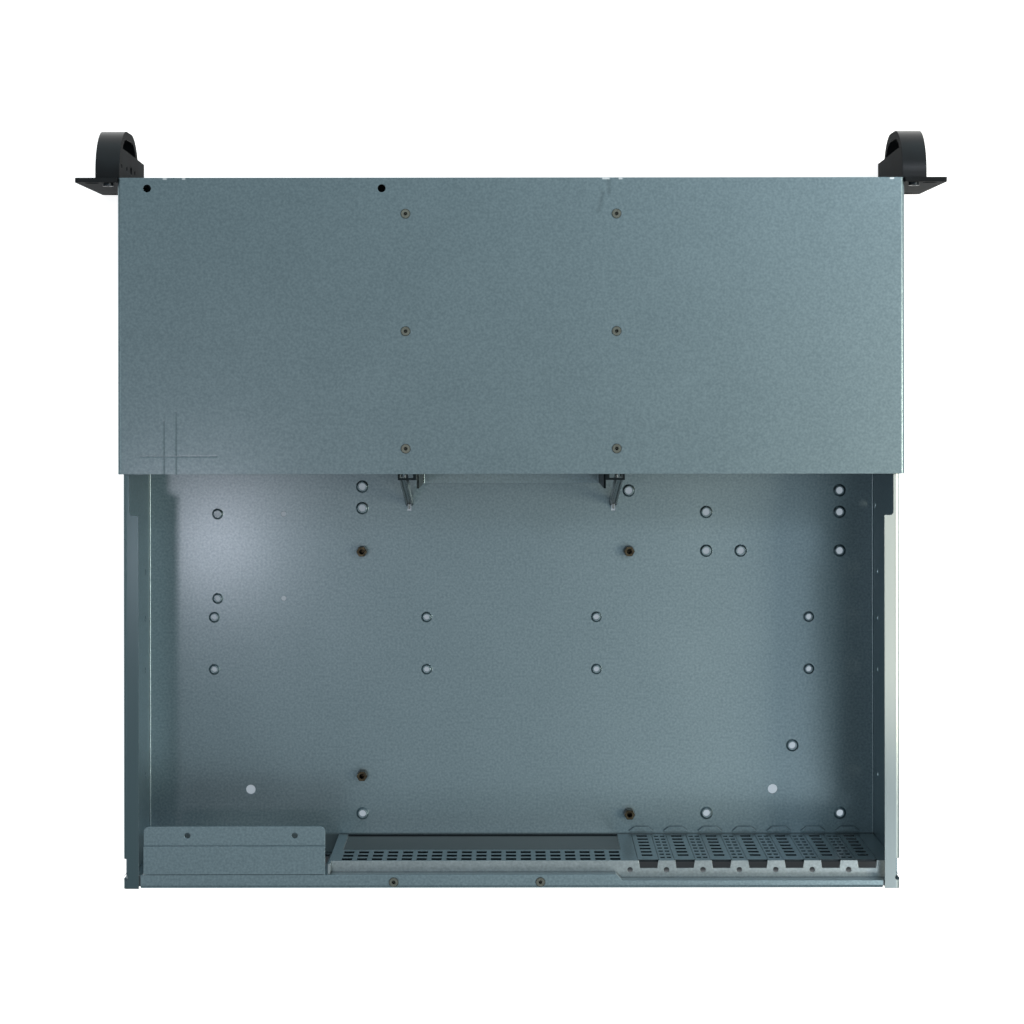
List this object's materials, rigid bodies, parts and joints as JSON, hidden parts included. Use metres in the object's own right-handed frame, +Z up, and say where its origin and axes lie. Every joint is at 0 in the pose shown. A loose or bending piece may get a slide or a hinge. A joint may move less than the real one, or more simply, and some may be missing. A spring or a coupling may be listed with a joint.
{
  "type": "rackmount server case",
  "caption": "Empty short two-unit rack case of folded galvanised steel with a fixed front cover, drive cage, vented slot blanks, open rear half and black handles.",
  "frame": {"origin": "centre of the pan's underside, midway between the front and rear planes", "axes": "+X to the right when facing the front, +Y from front to rear, +Z up"},
  "size_m": [0.4826, 0.4222, 0.0881],
  "materials": {
    "galvanised_steel": "zinc coated sheet, satin, faintly mottled",
    "black_powder_coat": "fine black powder coat on steel",
    "black_moulding": "black moulded handle, fine grain",
    "brass": "turned brass",
    "black_screw": "blackened steel screws",
    "rivet_steel": "plated steel rivets"
  },
  "bodies": {
    "root": {"chassis_base": "galvanised_steel", "front_cover": "galvanised_steel", "drive_cage": "galvanised_steel", "cage_leg_left": "galvanised_steel", "cage_leg_right": "galvanised_steel", "rear_panel": "galvanised_steel", "rear_rim": "galvanised_steel", "supply_bracket": "galvanised_steel", "slot_blank_1": "galvanised_steel", "slot_blank_2": "galvanised_steel", "slot_blank_3": "galvanised_steel", "slot_blank_4": "galvanised_steel", "slot_blank_5": "galvanised_steel", "slot_blank_6": "galvanised_steel", "slot_blank_7": "galvanised_steel", "front_panel": "black_powder_coat", "handle_left": "black_moulding", "handle_right": "black_moulding", "standoffs": "brass", "handle_screws": "black_screw", "cover_rivets": "rivet_steel", "rim_rivets": "rivet_steel", "panel_rivets": "rivet_steel"}
  },
  "joints": []
}
